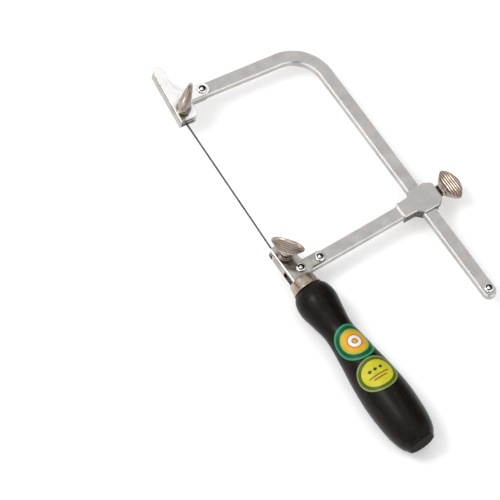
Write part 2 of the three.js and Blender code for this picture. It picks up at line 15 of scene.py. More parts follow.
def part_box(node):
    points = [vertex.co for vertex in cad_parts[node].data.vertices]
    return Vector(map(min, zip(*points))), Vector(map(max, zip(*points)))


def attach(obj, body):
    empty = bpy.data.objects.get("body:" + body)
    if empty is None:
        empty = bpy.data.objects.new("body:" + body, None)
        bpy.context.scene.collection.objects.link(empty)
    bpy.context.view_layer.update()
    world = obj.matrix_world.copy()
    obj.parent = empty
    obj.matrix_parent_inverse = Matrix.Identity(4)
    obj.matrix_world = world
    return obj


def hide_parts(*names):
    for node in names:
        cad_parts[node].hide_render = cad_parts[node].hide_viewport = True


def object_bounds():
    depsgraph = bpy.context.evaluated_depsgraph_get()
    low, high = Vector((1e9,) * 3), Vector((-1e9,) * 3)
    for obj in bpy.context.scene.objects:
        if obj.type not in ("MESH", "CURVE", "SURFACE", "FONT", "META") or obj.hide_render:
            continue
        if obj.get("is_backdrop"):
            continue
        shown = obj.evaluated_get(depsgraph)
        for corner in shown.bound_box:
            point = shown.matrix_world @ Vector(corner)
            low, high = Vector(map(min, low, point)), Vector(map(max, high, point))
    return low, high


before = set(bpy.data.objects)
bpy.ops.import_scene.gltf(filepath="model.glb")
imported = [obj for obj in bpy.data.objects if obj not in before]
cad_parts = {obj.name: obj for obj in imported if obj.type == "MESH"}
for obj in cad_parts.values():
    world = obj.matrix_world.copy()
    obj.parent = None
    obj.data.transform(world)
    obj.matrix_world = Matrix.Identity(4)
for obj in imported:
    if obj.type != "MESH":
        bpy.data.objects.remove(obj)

CAD_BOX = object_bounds()


def middle(cad_node):
    """The middle of a node's box, in the shared frame."""
    low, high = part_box(cad_node)
    return (Vector(low) + Vector(high)) / 2


# ---- where things are, from the frame ----

MM = 0.001
ORIGIN = Vector((middle("handle").x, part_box("ferrule")[1][1], middle("back_bar").z))
DESIGN = Matrix.Translation(ORIGIN) @ Matrix.Scale(MM, 4)


def design_point(point):
    """A point of the shared frame in the saw's own millimetres."""
    return (Vector(point) - ORIGIN) / MM


def design_box(cad_node):
    """A node's lowest and highest corners in the saw's own millimetres."""
    low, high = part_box(cad_node)
    return design_point(low), design_point(high)


def design_middle(cad_node):
    """The middle of a node's box in the saw's own millimetres."""
    return design_point(middle(cad_node))


# ---- meshes ----

WELD = 0.001  # points closer than this are one


def loft(bm, rings, capped=False):
    """Joins neighbouring rings of points with faces. A ring of one point is a pole."""
    made = [[bm.verts.new(point) for point in ring] for ring in rings]
    for low, high in zip(made, made[1:]):
        count = max(len(low), len(high))
        for i in range(count):
            j = (i + 1) % count
            corners = (low[i % len(low)], low[j % len(low)], high[j % len(high)], high[i % len(high)])
            bm.faces.new(dict.fromkeys(corners))
    if capped:
        bm.faces.new(made[0])
        bm.faces.new(made[-1])
    return made


def ring(radius, height, count):
    """A level circle of points, or one point where the radius is nothing."""
    if radius <= 0:
        return [(0, 0, height)]
    angles = [2 * math.pi * i / count for i in range(count)]
    return [(radius * math.cos(a), radius * math.sin(a), height) for a in angles]


def turned(bm, profile, count):
    """A solid of revolution about Z from points (radius, height)."""
    return loft(bm, [ring(radius, height, count) for radius, height in profile])


def arc(centre_radius, centre_height, radius, start, finish, steps=8):
    """Profile points (radius, height) along an arc, in degrees."""
    angles = [math.radians(start + (finish - start) * i / steps) for i in range(steps + 1)]
    return [
        (centre_radius + radius * math.cos(a), centre_height + radius * math.sin(a)) for a in angles
    ]


def faces_along(polygon, axis):
    """Whether a face looks along an axis, within about 18 degrees."""
    return polygon.normal.dot(axis) > 0.95


def piece(name, bm, place, look, body, nodes, sharp=35):
    """The finished object of a mesh made in millimetres, standing for CAD nodes on a body.

    Edges bent by more than the angle sharp, in degrees, stay sharp.
    """
    bmesh.ops.recalc_face_normals(bm, faces=bm.faces)
    mesh = bpy.data.meshes.new(name)
    bm.to_mesh(mesh)
    bm.free()
    mesh.transform(DESIGN @ place)
    mesh.polygons.foreach_set("use_smooth", [True] * len(mesh.polygons))
    mesh.set_sharp_from_angle(angle=math.radians(sharp))
    mesh.materials.append(look)
    made = bpy.data.objects.new(name, mesh)
    bpy.context.scene.collection.objects.link(made)
    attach(made, body)
    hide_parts(*nodes)
    return made


def softened(cad_node, name, looks, body, radius=0.12):
    """A copy of a flat-faced CAD node with its facets merged and its edges rounded.

    The looks are for its broad faces, its narrow sides and its chamfers, in that order. Where
    there are fewer looks, the sides take the last one and the chamfers take the first.
    """
    side_lean = 0.3
    broad_lean = 0.95
    flat = math.radians(1)
    bm = bmesh.new()
    bm.from_mesh(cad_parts[cad_node].data)
    bmesh.ops.remove_doubles(bm, verts=bm.verts, dist=2 * WELD * MM)
    bmesh.ops.dissolve_limit(bm, angle_limit=flat, verts=bm.verts, edges=bm.edges)
    made = piece(name, bm, DESIGN.inverted(), looks[0], body, [cad_node])
    for look in looks[1:]:
        made.data.materials.append(look)
    # Faces take a look by how they lean: the looks given are toned copies of one metal, which paint shade
    # and highlight by lean.
    for polygon in made.data.polygons:
        lean = abs(polygon.normal.z)
        if lean < side_lean:
            polygon.material_index = min(1, len(looks) - 1)
        elif lean < broad_lean:
            polygon.material_index = 2 if len(looks) > 2 else 0
    bevel = made.modifiers.new("edges", "BEVEL")
    bevel.width = radius * MM
    bevel.segments = 3
    bevel.limit_method = "ANGLE"
    bevel.angle_limit = math.radians(30)
    bevel.harden_normals = True
    return made


# ---- materials ----


def node(tree, kind, inputs=(), **settings):
    """A shader node with its settings, its inputs either linked to sockets or given values."""
    made = tree.nodes.new(kind)
    for key, value in settings.items():
        setattr(made, key, value)
    for key, value in dict(inputs).items():
        if isinstance(value, bpy.types.NodeSocket):
            tree.links.new(value, made.inputs[key])
        else:
            made.inputs[key].default_value = value
    return made


def new_material(name, **constants):
    """A material, its node tree and its Principled shader, with constants straight on its sockets."""
    material = bpy.data.materials.new(name)
    material.use_nodes = True
    shader = material.node_tree.nodes["Principled BSDF"]
    for key, value in constants.items():
        shader.inputs[key.replace("_", " ").title().replace("Ior", "IOR")].default_value = value
    return material, material.node_tree, shader


def grain(tree, size, stretch=(1, 1, 1), detail=4.0, roughness=0.5, distortion=0.0):
    """Noise in the piece's own space with features of a size in millimetres, drawn out along axes."""
    place = node(tree, "ShaderNodeTexCoord").outputs["Object"]
    scale = [1 / (MM * size * s) for s in stretch]
    mapped = node(tree, "ShaderNodeMapping", {"Vector": place, "Scale": scale})
    inputs = {
        "Vector": mapped.outputs["Vector"],
        "Scale": 1.0,
        "Detail": detail,
        "Roughness": roughness,
        "Distortion": distortion,
    }
    return node(tree, "ShaderNodeTexNoise", inputs).outputs["Fac"]


def ramp(tree, value, stops):
    """Colours at places along a value."""
    made = node(tree, "ShaderNodeValToRGB", {"Fac": value})
    elements = made.color_ramp.elements
    for position, _ in stops[2:]:
        elements.new(position)
    for element, (position, colour) in zip(elements, stops):
        element.position = position
        element.color = (*colour, 1)
    return made.outputs["Color"]


def spread(tree, value, low, high, start=0.3, finish=0.7):
    """A value's middle stretch mapped onto a range."""
    inputs = {"Value": value, "From Min": start, "From Max": finish, "To Min": low, "To Max": high}
    return node(tree, "ShaderNodeMapRange", inputs).outputs["Result"]


def bump(tree, shader, height, depth, strength=1.0, under=None):
    """Relief of a depth in millimetres."""
    inputs = {"Height": height, "Distance": depth * MM, "Strength": strength}
    made = node(tree, "ShaderNodeBump", inputs)
    if under is not None:
        tree.links.new(under, made.inputs["Normal"])
    tree.links.new(made.outputs["Normal"], shader.inputs["Normal"])
    return made.outputs["Normal"]


def crevices(tree, reach, floor):
    """How open a place is, for painted shade: from a floor in tight corners to one in the open, over a
    reach in mm.
    """
    open_sky = node(tree, "ShaderNodeAmbientOcclusion", {"Distance": reach * MM}, samples=8)
    return spread(tree, open_sky.outputs["AO"], floor, 1.0, start=0.25, finish=0.85)


def scaled(tree, colour, factor):
    """A colour made darker or lighter by a value."""
    made = node(tree, "ShaderNodeVectorMath", {0: colour, "Scale": factor}, operation="SCALE")
    return made.outputs["Vector"]


def printed(tree, below, mask, colour):
    """Colour laid over what is below, where the mask is one."""
    below_socket, colour_socket, mixed_socket = 6, 7, 2
    mix = node(tree, "ShaderNodeMix", data_type="RGBA")
    tree.links.new(mask, mix.inputs["Factor"])
    tree.links.new(below, mix.inputs[below_socket])
    mix.inputs[colour_socket].default_value = (*colour, 1)
    return mix.outputs[mixed_socket]


def rims(tree, radius, floor):
    """From a floor at sharp edges to one away from them, over a radius in mm, for a painted dark outline.
    """
    rounded = node(tree, "ShaderNodeBevel", {"Radius": radius * MM}, samples=6).outputs["Normal"]
    true = node(tree, "ShaderNodeNewGeometry").outputs["Normal"]
    match = node(tree, "ShaderNodeVectorMath", {0: rounded, 1: true}, operation="DOT_PRODUCT")
    return spread(tree, match.outputs["Value"], floor, 1.0, start=0.8, finish=0.98)


def painted_groove_shade(material, dark):
    """Painted dark shade where the piece's groove attribute is one."""
    tree = material.node_tree
    shader = tree.nodes["Principled BSDF"]
    clean = shader.inputs["Base Color"].links[0].from_socket
    groove = node(tree, "ShaderNodeAttribute", attribute_name="groove").outputs["Fac"]
    tree.links.new(printed(tree, clean, groove, dark), shader.inputs["Base Color"])
    return material


def plated(name, dark, light, roughness, streak=(1, 1, 1), relief=0.003, corner_shade=(3.0, 0.35), rim=1.0):
    """Metal with a cloudy tone, fine streaks along one axis, pits, and painted shade in its corners.

    The painted shade in corners is given as how far it reaches out of a corner in millimetres and
    what it leaves of the tone there. Rim is what is left of the tone at sharp edges, as a painted
    dark outline.
    """
    cloud_size = 7.0
    streak_size = 0.25
    pit_size = 0.5
    rim_width = 0.7
    material, tree, shader = new_material(name, metallic=1.0)
    clouds = grain(tree, cloud_size, detail=4.0)
    tone = ramp(tree, clouds, [(0.3, dark), (0.7, light)])
    lines = grain(tree, streak_size, streak, detail=5.0, roughness=0.65)
    specks = spread(tree, lines, 0.93, 1.05)
    # Painted shade: the tone darkens in tight corners.
    tone = scaled(tree, scaled(tree, tone, specks), crevices(tree, *corner_shade))
    # Painted shade: a dark outline along sharp edges.
    if rim < 1.0:
        tone = scaled(tree, tone, rims(tree, rim_width, rim))
    tree.links.new(tone, shader.inputs["Base Color"])
    tree.links.new(spread(tree, lines, *roughness), shader.inputs["Roughness"])
    pits = grain(tree, pit_size, detail=2.0)
    under = bump(tree, shader, pits, relief, 0.5)
    bump(tree, shader, lines, relief, under=under)
    return material


def bar_looks():
    """Satin broad faces, with painted shade on the rolled sides and a painted highlight on the chamfers."""
    return [
        plated("bar_satin", (0.465, 0.44, 0.43), (0.57, 0.545, 0.535), (0.3, 0.42)),
        plated("bar_side_painted_shade", (0.34, 0.325, 0.315), (0.5, 0.48, 0.465), (0.24, 0.4), (4, 4, 1)),
        plated("bar_chamfer_painted_highlight", (0.74, 0.72, 0.7), (0.84, 0.82, 0.8), (0.22, 0.32), relief=0.001),
    ]


def block_looks():
    """A cast block with a fine satin skin, painted shade at its sides and painted highlights on its
    chamfers.
    """
    highlight_tones = (0.72, 0.7, 0.67), (0.86, 0.84, 0.81)
    return [
        plated("block_satin", (0.5, 0.475, 0.46), (0.565, 0.54, 0.52), (0.38, 0.5), relief=0.008),
        plated("block_side_painted_shade", (0.06, 0.055, 0.05), (0.14, 0.13, 0.12), (0.35, 0.5), relief=0.02),
        plated("block_painted_highlight", *highlight_tones, (0.2, 0.34), corner_shade=(0.5, 0.9)),
    ]


def jaw_looks(name, dark, light, reach):
    """Folded sheet with painted shade at its rims, near its screw, on its cut edges and on its folds."""
    return [
        plated(name + "_face", dark, light, (0.08, 0.2), corner_shade=(reach, 0.05), rim=0.3),
        plated(name + "_edge", (0.3, 0.285, 0.265), (0.5, 0.48, 0.45), (0.2, 0.36), (1, 1, 6)),
        plated(name + "_fold", (0.34, 0.305, 0.275), (0.5, 0.46, 0.42), (0.16, 0.26)),
    ]


def screw_nickel():
    """Warm nickel over brass, with painted shade in the grooves between the ridges and in its corners."""
    tones = (0.33, 0.275, 0.225), (0.58, 0.5, 0.435)
    material = plated("screw_nickel", *tones, (0.16, 0.32), corner_shade=(9.0, 0.1))
    return painted_groove_shade(material, (0.15, 0.105, 0.078))


def ferrule_nickel():
    """Warm nickel, brushed round the ferrule, with painted shade in its corners."""
    tones = (0.25, 0.203, 0.165), (0.5, 0.42, 0.35)
    return plated("ferrule_nickel", *tones, (0.16, 0.32), (12, 1, 12), corner_shade=(1.5, 0.6))


def rivet_chrome():
    """Chrome, with painted black shade in the closing mark and painted shade in its corners."""
    tones = (0.86, 0.86, 0.86), (0.95, 0.95, 0.95)
    material = plated("rivet_chrome", *tones, (0.04, 0.1), relief=0.001, corner_shade=(1.6, 0.02))
    return painted_groove_shade(material, (0.008, 0.007, 0.006))


def shoe_brass():
    return plated("shoe_brass", (0.55, 0.4, 0.16), (0.7, 0.53, 0.24), (0.3, 0.45))


def plate_steel():
    tones = (0.4, 0.385, 0.37), (0.55, 0.53, 0.51)
    return plated("plate_ground", *tones, (0.28, 0.4), (10, 1, 1))


def blade_steel():
    tones = (0.07, 0.068, 0.066), (0.16, 0.15, 0.145)
    return plated("blade_steel", *tones, (0.3, 0.5), (1, 8, 1))


def black_lacquer():
    """Glossy black over turned wood: brown shows faintly along the grain."""
    material, tree, shader = new_material(
        "black_lacquer", specular_ior_level=0.14, specular_tint=(1.0, 0.92, 0.87, 1.0)
    )
    fibres = grain(tree, 0.8, (1, 14, 1), detail=6.0, roughness=0.62, distortion=0.6)
    tones = [
        (0.4, (0.0025, 0.002, 0.0016)),
        (0.58, (0.0055, 0.0038, 0.003)),
        (0.78, (0.032, 0.019, 0.015)),
    ]
    tree.links.new(ramp(tree, fibres, tones), shader.inputs["Base Color"])
    patches = grain(tree, 6.0, (1, 3, 1), detail=5.0, roughness=0.6)
    tree.links.new(spread(tree, patches, 0.26, 0.42), shader.inputs["Roughness"])
    pores = grain(tree, 0.35, (1, 16, 1), detail=4.0)
    under = bump(tree, shader, patches, 0.12, 0.5)
    bump(tree, shader, pores, 0.04, 0.7, under=under)
    return material


def end_grain():
    """Dull black over end grain."""
    material, tree, shader = new_material("end_grain", specular_ior_level=0.04)
    fibres = grain(tree, 0.7, (2, 1, 1), detail=5.0, distortion=0.8)
    tones = [(0.35, (0.005, 0.0045, 0.004)), (0.7, (0.02, 0.016, 0.013))]
    tree.links.new(ramp(tree, fibres, tones), shader.inputs["Base Color"])
    tree.links.new(spread(tree, fibres, 0.5, 0.7), shader.inputs["Roughness"])
    bump(tree, shader, fibres, 0.05, 0.6)
    return material


# ---- turned handle ----

FERRULE_LENGTH = 7.0
HANDLE_TOP = -FERRULE_LENGTH - 0.1
HANDLE_BORE = 3.75
# The handle's outline: distance below its top, and radius there.
HANDLE_STATIONS = [
    (0, 8.8),
    (4, 10.8),
    (10, 11.6),
    (20, 9.95),
    (29.5, 8.65),
    (45, 10.2),
    (61, 12.4),
    (77, 13.6),
    (91, 13.15),
    (99, 12.1),
    (104.5, 10.4),
    (107.2, 8.5),
    (108.7, 6.2),
]


def handle_radius(distance):
    """Radius at a distance below the handle's top: a smooth curve through the stations."""
    last = len(HANDLE_STATIONS) - 1
    i = sum(1 for station in HANDLE_STATIONS[1:-1] if station[0] < distance)
    (x0, r0), (x1, r1) = HANDLE_STATIONS[i : i + 2]

    def slope(k):
        xa, ra = HANDLE_STATIONS[max(k - 1, 0)]
        xb, rb = HANDLE_STATIONS[min(k + 1, last)]
        return (rb - ra) / (xb - xa)

    span = x1 - x0
    t = (distance - x0) / span
    blend = t * t * (3 - 2 * t)
    leave = span * slope(i) * t * (1 - t) * (1 - t)
    arrive = span * slope(i + 1) * t * t * (t - 1)
    return r0 + (r1 - r0) * blend + leave + arrive


# Turned pieces are made about Z; this stands them on the handle's axis, Z becoming Y.
ALONG_HANDLE = Matrix.Rotation(math.radians(-90), 4, "X")


def handle():
    """The wood with its bore, the neck inside the ferrule, a groove below it and the butt."""
    length = HANDLE_STATIONS[-1][0]
    groove_depth = 0.9
    groove_width = 1.6
    butt_edge = 1.6
    steps = 220
    bore_end = -47.0
    neck_top = -0.9
    neck_top_radius = 6.4
    neck_foot_radius = 7.8
    profile = [(0, bore_end), (HANDLE_BORE, bore_end), (HANDLE_BORE, neck_top)]
    profile += [(neck_top_radius, neck_top), (neck_foot_radius, HANDLE_TOP)]
    profile += [(handle_radius(0) - groove_depth, HANDLE_TOP)]
    for i in range(1, steps + 1):
        distance = i / steps * (length - butt_edge)
        closing = max(0.0, 1 - distance / groove_width)
        profile.append((handle_radius(distance) - groove_depth * closing**2, HANDLE_TOP - distance))
    butt = HANDLE_TOP - length
    edge_radius = handle_radius(length - butt_edge)
    profile += arc(edge_radius - butt_edge, butt + butt_edge, butt_edge, -8, -90)
    profile.append((0, butt))
    bm = bmesh.new()
    turned(bm, profile, 128)
    made = piece("turned_handle", bm, ALONG_HANDLE, black_lacquer(), "handle_side", ["handle"])
    made.data.materials.append(end_grain())
    for polygon in made.data.polygons:
        if faces_along(polygon, Vector((0, -1, 0))):
            polygon.material_index = 1


def ferrule():
    """A thin tapered cap with a rounded shoulder and a bead round its skirt."""
    mouth = 7.5
    skirt = 8.7
    wall = 0.8
    bead = 0.55
    chamfer = 0.1
    profile = [(HANDLE_BORE, -wall), (HANDLE_BORE, -chamfer), (HANDLE_BORE + chamfer, 0)]
    profile += arc(mouth - wall, -wall, wall, 90, 12)
    profile += [(mouth + 0.2, -2.0), (skirt - bead, -FERRULE_LENGTH + 1.35)]
    profile += arc(skirt - bead, -FERRULE_LENGTH + bead, bead, 75, -90)
    profile += [(skirt - wall, -FERRULE_LENGTH), (mouth - wall, -wall), (HANDLE_BORE, -wall)]
    bm = bmesh.new()
    turned(bm, profile, 128)
    bmesh.ops.remove_doubles(bm, verts=bm.verts, dist=WELD)
    piece("tapered_ferrule", bm, ALONG_HANDLE, ferrule_nickel(), "handle_side", ["ferrule"])


# ---- thumb screws ----

SCREW_RADIUS = 2.0
THREAD_PITCH = 0.7
THREAD_DEPTH = 0.32
HUB_RADIUS = 3.6
PADDLE_WIDTH = 19.4
PADDLE_HEIGHT = 12.2
PADDLE_TIP_HEIGHT = 7.2  # where the arc of its top starts on both sides
PADDLE_MIDDLE = Vector((0, 6.4))
PADDLE_RIM = 0.5  # half its thickness at the top
PADDLE_SWELL = 2.5  # what its foot has on each side beyond that
PADDLE_TIP_SHARE = 0.38  # the share of that thickness at its side tips
RIDGES = 6
FIRST_RIDGE = 2.0
RIDGE_PITCH = 1.5
RIDGE_DEPTH = 0.45


def threaded_shaft(bm, length):
    """A right-hand thread with a tapered tip, standing on that tip."""
    count = 48
    steps_per_turn = 10
    tip_length = 0.5
    rows = round(length / THREAD_PITCH * steps_per_turn)
    rings = [[(0, 0, 0)]]
    for row in range(rows + 1):
        height = length * row / rows
        circle = []
        for i in range(count):
            angle = 2 * math.pi * i / count
            phase = (height / THREAD_PITCH - i / count) % 1
            taper = max(0.0, tip_length - height)
            radius = SCREW_RADIUS - THREAD_DEPTH * abs(2 * phase - 1) - taper
            circle.append((radius * math.cos(angle), radius * math.sin(angle), height))
        rings.append(circle)
    rings.append([(0, 0, length)])
    loft(bm, rings)


def fan_outline():
    """Right half of the paddle's outline (across, height), from its foot to the top of its arc."""
    half = PADDLE_WIDTH / 2
    rise = PADDLE_HEIGHT - PADDLE_TIP_HEIGHT
    radius = (half * half + rise * rise) / (2 * rise)
    foot = Vector((2.4, 0))
    swell = Vector((6.9, 2.4))
    wing = Vector((half - 0.15, 5.9))
    tip = Vector((half, 6.5))
    side_steps = 16
    arc_steps = 28
    points = []
    for i in range(side_steps + 1):
        t = i / side_steps
        points.append((1 - t) ** 2 * foot + 2 * t * (1 - t) * swell + t * t * wing)
    points.append(tip)
    start = math.asin(half / radius)
    for i in range(arc_steps + 1):
        a = start * (1 - i / arc_steps)
        points.append(Vector((radius * math.sin(a), PADDLE_HEIGHT - radius + radius * math.cos(a))))
    return points


def paddle_section(across, height, from_edge):
    """Half thickness and depth of groove. Ridges run across both faces, which thin to the tips."""
    swell_power = 1.7
    tip_power = 2.6
    smooth_edge = 0.3
    deepest_share = 0.35
    rounding = 0.5
    roundness = 0.9
    thickness = PADDLE_RIM + PADDLE_SWELL * (1 - max(0.0, height / PADDLE_HEIGHT) ** swell_power)
    thickness *= 1 - (1 - PADDLE_TIP_SHARE) * abs(2 * across / PADDLE_WIDTH) ** tip_power
    groove = 0.0
    if FIRST_RIDGE < height < FIRST_RIDGE + RIDGES * RIDGE_PITCH:
        wave = 0.5 - 0.5 * math.cos(2 * math.pi * (height - FIRST_RIDGE) / RIDGE_PITCH)
        groove = wave * min(1.0, max(0.0, (from_edge - smooth_edge) / smooth_edge))
        thickness -= min(RIDGE_DEPTH, deepest_share * thickness) * groove
    if from_edge < rounding:
        drop = 1 - from_edge / rounding
        thickness *= math.sqrt(1 - drop * drop * roundness)
    return thickness, groove


def paddle(bm, base):
    """A fan-shaped paddle across X. Its groove attribute is one at the bottom of each groove."""
    right = fan_outline()
    left = [Vector((-point.x, point.y)) for point in reversed(right[:-1])]
    outline = right + left
    usual_reach = 6
    edge_steps = [0.06, 0.14, 0.24, 0.36, 0.5]
    inner_steps = [0.5 + 0.14 * i for i in range(1, 40)]
    grooves = bm.verts.layers.float.new("groove")

    def shrunk(inset, side):
        """The outline drawn in towards the middle, on one side of the paddle, and its grooves."""
        points = []
        depths = []
        for point in outline:
            inward = PADDLE_MIDDLE - point
            from_edge = min(inset * inward.length / usual_reach, inward.length)
            spot = point + inward * (from_edge / inward.length)
            thickness, groove = paddle_section(spot.x, spot.y, from_edge)
            points.append((spot.x, side * thickness, base + spot.y))
            depths.append(groove)
        return points, depths

    insets = [0.0, *edge_steps, *inner_steps]
    middle_height = base + PADDLE_MIDDLE.y
    thickness, groove = paddle_section(0, PADDLE_MIDDLE.y, usual_reach)
    rows = [([(0, thickness, middle_height)], [groove])]
    rows += [shrunk(inset, 1) for inset in reversed(insets)]
    rows += [shrunk(inset, -1) for inset in insets]
    rows.append(([(0, -thickness, middle_height)], [groove]))
    corners = loft(bm, [points for points, _ in rows])
    # The groove values carry painted shade into the bottoms of the grooves.
    for made, (_, depths) in zip(corners, rows):
        for corner, depth in zip(made, depths):
            corner[grooves] = depth


def thumb_screw(name, cad_node, body, place, base):
    """A screw standing on its tip at the origin of its place, with its paddle across X.

    The paddle starts at the height base, on a rounded hub that runs up into it as a cone.
    """
    bm = bmesh.new()
    paddle(bm, base)
    threaded_shaft(bm, base - 0.8)
    profile = [(0, base - 1.4), (2.2, base - 1.4)]
    edge = 0.35
    profile += arc(HUB_RADIUS - edge, base - 1.0, edge, -70, 0)
    profile += arc(HUB_RADIUS - edge, base + 0.1, edge, 0, 70)
    profile += [(2.5, base + 1.4), (1.9, base + 3.0), (0, base + 3.2)]
    turned(bm, profile, 64)
    piece(name, bm, place, screw_look, body, [cad_node], sharp=50)


def standing_screw(name, cad_node, bush_node, body, turn):
    """A jaw's screw, upright in its bush, its paddle turned by an angle in degrees."""
    axis = design_middle(bush_node)
    low, high = design_box(cad_node)
    place = Matrix.Translation((axis.x, axis.y, low.z)) @ Matrix.Rotation(math.radians(turn), 4, "Z")
    thumb_screw(name, cad_node, body, place, high.z - low.z - PADDLE_HEIGHT)


def lying_screw():
    """The slide's screw, lying along X with its paddle in the plane of the frame."""
    low, high = design_box("slide_thumb_screw")
    axis_y = (low.y + high.y) / 2
    laid = Matrix(((0, 0, 1, 0), (1, 0, 0, 0), (0, 1, 0, 0), (0, 0, 0, 1)))
    place = Matrix.Translation((low.x, axis_y, 0)) @ laid
    base = high.x - low.x - PADDLE_HEIGHT
    thumb_screw("slide_screw_turned", "slide_thumb_screw", "slide_screw", place, base)


# ---- rivets and bushes ----


def rivet(name, cad_node, body, look):
    """A domed head with a ring-shaped closing mark round a nub, a shank and a low tail."""
    axis = design_middle(cad_node)
    low, high = design_box(cad_node)
    head_radius = (high.x - low.x) / 2
    head_rise = 1.6
    mark_radius = 1.95
    mark_depth = 0.8
    nub_depth = 0.3
    tail_rise = 0.7
    tail_radius = 2.1
    shank = 1.5
    fullness = 0.9
    steps = 14

    def dome(radius, rise, from_height, sign):
        """Profile points from a dome's foot to its top, or down to it where the sign is -1."""
        points = []
        for i in range(steps + 1):
            a = math.pi / 2 * i / steps
            across = 0 if i == steps else radius * math.cos(a) ** fullness
            points.append((across, from_height + sign * rise * math.sin(a)))
        return points

    head_seat = high.z - head_rise
    tail_seat = low.z + tail_rise
    profile = list(reversed(dome(tail_radius, tail_rise, tail_seat, -1)))
    profile += [(shank, tail_seat), (shank, head_seat)]
    head = dome(head_radius, head_rise, head_seat, 1)
    profile += [point for point in head if point[0] > mark_radius]
    mark_start = len(profile)
    mark_end = mark_start + 2
    profile += [(mark_radius * 0.9, high.z - 0.4), (mark_radius * 0.6, high.z - mark_depth)]
    profile += [(mark_radius * 0.34, high.z - 0.5), (0, high.z - nub_depth)]
    bm = bmesh.new()
    grooves = bm.verts.layers.float.new("groove")
    # The closing mark's ring takes a groove value of one, which the rivet's material paints black as
    # painted shade.
    for circle in turned(bm, profile, 64)[mark_start:mark_end]:
        for corner in circle:
            corner[grooves] = 1.0
    piece(name, bm, Matrix.Translation((axis.x, axis.y, 0)), look, body, [cad_node])


def bush(name, cad_node, body):
    """A bored bush: a seat through the sheet, a flange on it and a collar on the flange."""
    axis = design_middle(cad_node)
    low, high = design_box(cad_node)
    bore = SCREW_RADIUS + 0.15
    seat = 3.0
    flange = (high.x - low.x) / 2
    collar = flange - 0.7
    collar_rise = 1.1
    flange_rise = 1.05
    edge = 0.25
    top = high.z
    flange_top = top - collar_rise
    flange_low = flange_top - flange_rise
    profile = [(bore, low.z), (seat, low.z), (seat, flange_low), (flange - edge, flange_low)]
    profile += arc(flange - edge, flange_low + edge, edge, -90, 0, 5)
    profile += arc(flange - edge, flange_top - edge, edge, 0, 90, 5)
    profile += [(collar, flange_top)]
    profile += arc(collar - edge, top - edge, edge, 0, 90, 5)
    profile += [(bore + edge, top), (bore, top - edge), (bore, low.z)]
    bm = bmesh.new()
    turned(bm, profile, 80)
    bmesh.ops.remove_doubles(bm, verts=bm.verts, dist=WELD)
    piece(name, bm, Matrix.Translation((axis.x, axis.y, 0)), screw_look, body, [cad_node])


# ---- slide block ----


def slide_block():
    """The cast block, with a painted highlight on the end of its neck, where the lower arm goes in."""
    made = softened("slide_block", "cast_slide_block", block_looks(), "handle_side", 0.2)
    # Faces looking back along the neck take the lighter look, a painted highlight.
    for polygon in made.data.polygons:
        if faces_along(polygon, Vector((-1, 0, 0))):
            polygon.material_index = 2


# ---- blade ----


def blade():
    """A thin strip with raked teeth along its outer edge and plain ends, on a line between the jaws."""
    length = 130.0
    half_width = 0.6
    jaw_gap = 89.9
    jaw_offset = 3.6
    pitch = 0.8
    tooth = 0.34
    tooth_rake = 0.04
    tooth_flat = 0.35 * pitch
    plain_end = 9.0
    low, high = design_box("saw_blade")
    axis = design_middle("saw_blade")
    stations = [(-length / 2, 0.0)]
    teeth = int((length - 2 * plain_end) / pitch)
    for i in range(teeth):
        start = -length / 2 + plain_end + i * pitch
        stations += [(start, 0.0), (start + tooth_rake, tooth), (start + tooth_flat, tooth)]
    stations += [(length / 2 - plain_end + pitch, 0.0), (length / 2, 0.0)]
    rings = []
    for along, bite in stations:
        section = [(-half_width + bite, low.z), (half_width, low.z)]
        section += [(across, high.z) for across, _ in reversed(section)]
        rings.append([(across, along, height) for across, height in section])
    bm = bmesh.new()
    loft(bm, rings, capped=True)
    lean = Matrix.Rotation(-math.atan2(jaw_offset, jaw_gap), 4, "Z")
    place = Matrix.Translation((axis.x, axis.y, 0)) @ lean
    piece("toothed_blade", bm, place, blade_steel(), "frame_bar", ["saw_blade"], sharp=20)


# ---- printed labels ----

PRINT_BLUR = 0.02
RUST = (0.2, 0.022, 0.006)
DARK_GREEN = (0.012, 0.05, 0.02)


def label(name, cad_node, look, distance, angle, half_along, half_round):
    """A thin oval skin that follows the handle. Its UV runs from -1 to 1 across and along.

    Its middle is at a distance below the handle's top end and at an angle round its axis from
    straight up, in degrees. Its half sizes go along the handle and round it.
    """
    rings = 24
    spokes = 96
    lift = 0.09
    paper = 0.1

    def on_print(reach, spoke):
        """A point of the print, from its middle out along a spoke."""
        bearing = 2 * math.pi * spoke / spokes
        return (reach * math.sin(bearing), -reach * math.cos(bearing))

    def on_handle(spot, height):
        """Where a point of the print is in space, at a height over the label's underside."""
        down = distance - half_along * spot[1]
        radius = handle_radius(down)
        turn = math.radians(angle) + half_round * spot[0] / radius
        out = radius + lift + height
        return (out * math.sin(turn), HANDLE_TOP - down, out * math.cos(turn))

    layer = [[(0, 0)]]
    layer += [[on_print(i / rings, spoke) for spoke in range(spokes)] for i in range(1, rings + 1)]
    top = [[on_handle(spot, paper) for spot in circle] for circle in layer]
    under = [[on_handle(spot, 0) for spot in circle] for circle in layer]
    bm = bmesh.new()
    corners = loft(bm, top + under[::-1])
    spots = {}
    for circle, made in zip(layer + layer[::-1], corners):
        spots.update(zip(made, circle))
    uv = bm.loops.layers.uv.new("print")
    for face in bm.faces:
        for corner in face.loops:
            corner[uv].uv = spots[corner.vert]
    piece(name, bm, Matrix.Identity(4), look, "handle_side", [cad_node], sharp=60)


def inside(tree, distance, limit):
    """One where a distance on the print is under a limit, nought where it is over."""
    return spread(tree, distance, 1.0, 0.0, limit - PRINT_BLUR, limit + PRINT_BLUR)


def disc(tree, place, centre, radius):
    """One inside a circle of the print, nought outside it."""
    gap = node(tree, "ShaderNodeVectorMath", {0: place, 1: (*centre, 0)}, operation="DISTANCE")
    return inside(tree, gap.outputs["Value"], radius)


